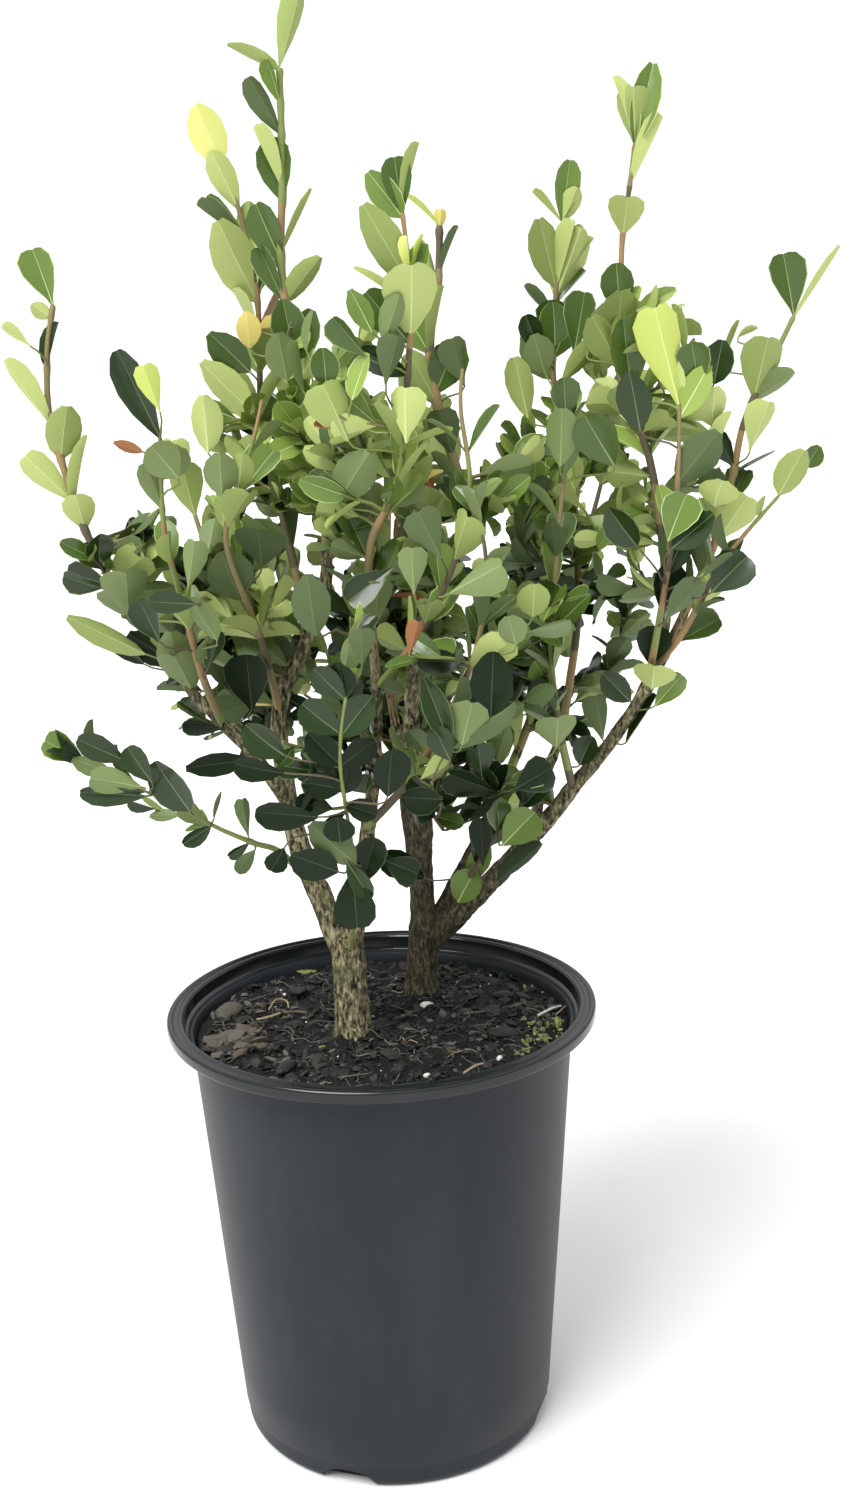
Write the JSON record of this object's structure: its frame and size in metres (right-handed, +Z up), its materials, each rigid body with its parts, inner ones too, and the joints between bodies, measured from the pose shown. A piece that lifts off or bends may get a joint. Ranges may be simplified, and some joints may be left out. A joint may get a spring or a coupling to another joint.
{
  "type": "potted young boxwood shrub",
  "caption": "Young open-branched boxwood shrub with two forked woody stems, tapering boughs and upright leafy shoots, growing in a round black plastic nursery pot filled with potting mix.",
  "frame": {"origin": "centre of the pot's flat underside", "axes": "+Z up along the pot's axis and the crown's height, -Y towards the front, +X to the right seen from the front"},
  "size_m": [0.299, 0.2393, 0.536],
  "materials": {
    "pot_plastic": "satin moulded black polyethylene",
    "potting_mix": "rough damp bark and peat",
    "bark": "rough grey-tan bark",
    "leaf_young": "satin light green leaves",
    "leaf_mature": "glossy dark green leaves"
  },
  "bodies": {
    "root": {"bough_back": "bark", "bough_back_left": "bark", "bough_back_right": "bark", "bough_centre": "bark", "bough_far_left": "bark", "bough_far_right": "bark", "bough_front": "bark", "bough_left": "bark", "bough_left_inner": "bark", "bough_left_low": "bark", "bough_low_right": "bark", "bough_right": "bark", "bough_right_inner": "bark", "foliage_back": "leaf_mature", "foliage_back_left": "leaf_mature", "foliage_back_right": "leaf_mature", "foliage_centre_left_spire": "leaf_young", "foliage_centre_spire": "leaf_young", "foliage_far_left_spire": "leaf_young", "foliage_far_right_spire": "leaf_young", "foliage_front": "leaf_mature", "foliage_front_right": "leaf_mature", "foliage_heart": "leaf_mature", "foliage_left": "leaf_mature", "foliage_left_spire": "leaf_young", "foliage_low_left": "leaf_mature", "foliage_low_right": "leaf_mature", "foliage_mid_right_spire": "leaf_young", "foliage_right": "leaf_mature", "foliage_right_spire": "leaf_young", "foliage_short_left_spire": "leaf_mature", "foliage_tall_right_spire": "leaf_young", "foliage_tallest_spire": "leaf_young", "foliage_under_right": "leaf_mature", "pot": "pot_plastic", "soil": "potting_mix", "trunk_left": "bark", "trunk_right": "bark"}
  },
  "joints": []
}
